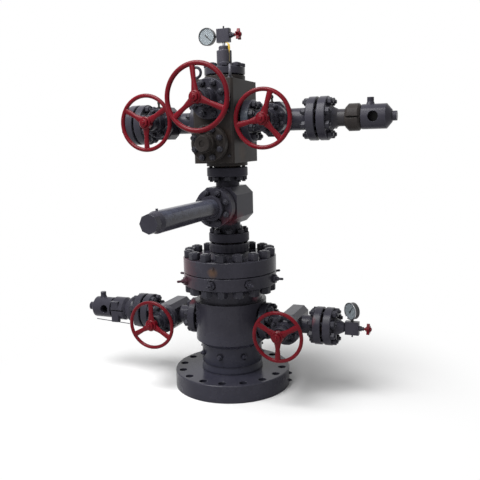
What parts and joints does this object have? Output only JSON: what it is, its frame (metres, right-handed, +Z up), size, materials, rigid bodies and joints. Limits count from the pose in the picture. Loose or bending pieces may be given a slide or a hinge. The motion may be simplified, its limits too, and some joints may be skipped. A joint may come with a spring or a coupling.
{
  "type": "oil wellhead valve stack",
  "caption": "Flanged steel wellhead with a tubing head, valve tree, wing valves with red hand wheels, a cylinder actuator and two pressure gauges.",
  "frame": {"origin": "centre of the base flange's underside", "axes": "+Z up the well, +X along the outlet wing, -Y towards the hand wheels"},
  "size_m": [1.921, 1.2425, 2.042],
  "materials": {
    "grey_paint": "semi-gloss anthracite enamel on steel castings and forgings",
    "block_paint": "semi-gloss anthracite enamel, warmer, on the machined tree block",
    "red_paint": "glossy red enamel on cast hand wheels",
    "gasket_steel": "machined soft iron ring gaskets, darkened",
    "bright_steel": "turned steel",
    "gauge_case": "steel gauge case with a pale dial"
  },
  "bodies": {
    "stack": {"tubing_head": "grey_paint", "neck_plugs": "grey_paint", "lockdown_screws": "grey_paint", "adapter_flange": "grey_paint", "ring_gaskets": "gasket_steel", "master_valve_body": "grey_paint", "master_bonnet": "grey_paint", "actuator_cylinder": "grey_paint", "actuator_nose": "grey_paint", "tree_block": "block_paint", "block_lower_bonnet": "grey_paint", "swab_bonnet": "grey_paint", "lifting_eye": "grey_paint", "tree_cap": "grey_paint", "gauge_nipple": "bright_steel", "top_needle_valve": "grey_paint", "top_gauge": "gauge_case", "right_wing_valve": "grey_paint", "right_wing_bonnet": "grey_paint", "right_wing_hub_flange": "grey_paint", "right_wing_union": "grey_paint", "right_wing_end": "grey_paint", "left_wing_valve": "grey_paint", "left_wing_bonnet": "grey_paint", "left_wing_blind": "grey_paint", "right_side_valve": "grey_paint", "right_side_bonnet": "grey_paint", "right_side_blind": "grey_paint", "side_needle_valve": "grey_paint", "side_gauge": "gauge_case", "left_side_valve": "grey_paint", "left_side_bonnet": "grey_paint", "left_side_hub_flange": "grey_paint", "left_side_union": "grey_paint", "left_side_end": "grey_paint"},
    "swab_wheel": {"swab_handwheel": "red_paint"},
    "right_wing_wheel": {"right_wing_handwheel": "red_paint"},
    "left_wing_wheel": {"left_wing_handwheel": "red_paint"},
    "right_side_wheel": {"right_side_handwheel": "red_paint"},
    "left_side_wheel": {"left_side_handwheel": "red_paint"},
    "top_needle": {"top_needle_handle": "red_paint"},
    "side_needle": {"side_needle_handle": "red_paint"}
  },
  "joints": [
    {"name": "swab_wheel_turn", "type": "hinge", "parent": "stack", "child": "swab_wheel", "pos_m": [0, -0.383, 1.641], "axis": [0, -1, 0], "range_deg": [0, 4860]},
    {"name": "right_wing_wheel_turn", "type": "hinge", "parent": "stack", "child": "right_wing_wheel", "pos_m": [0.331, -0.316, 1.524], "axis": [0, -1, 0], "range_deg": [0, 4860]},
    {"name": "left_wing_wheel_turn", "type": "hinge", "parent": "stack", "child": "left_wing_wheel", "pos_m": [-0.331, -0.316, 1.524], "axis": [0, -1, 0], "range_deg": [0, 4860]},
    {"name": "right_side_wheel_turn", "type": "hinge", "parent": "stack", "child": "right_side_wheel", "pos_m": [0.3785, -0.278, 0.391], "axis": [0, -1, 0], "range_deg": [0, 4050]},
    {"name": "left_side_wheel_turn", "type": "hinge", "parent": "stack", "child": "left_side_wheel", "pos_m": [-0.3785, -0.278, 0.391], "axis": [0, -1, 0], "range_deg": [0, 4050]},
    {"name": "top_needle_turn", "type": "hinge", "parent": "stack", "child": "top_needle", "pos_m": [0.08, 0, 1.9915], "axis": [1, 0, 0], "range_deg": [-1620, 0]},
    {"name": "side_needle_turn", "type": "hinge", "parent": "stack", "child": "side_needle", "pos_m": [0.8, 0, 0.391], "axis": [1, 0, 0], "range_deg": [-1620, 0]}
  ]
}
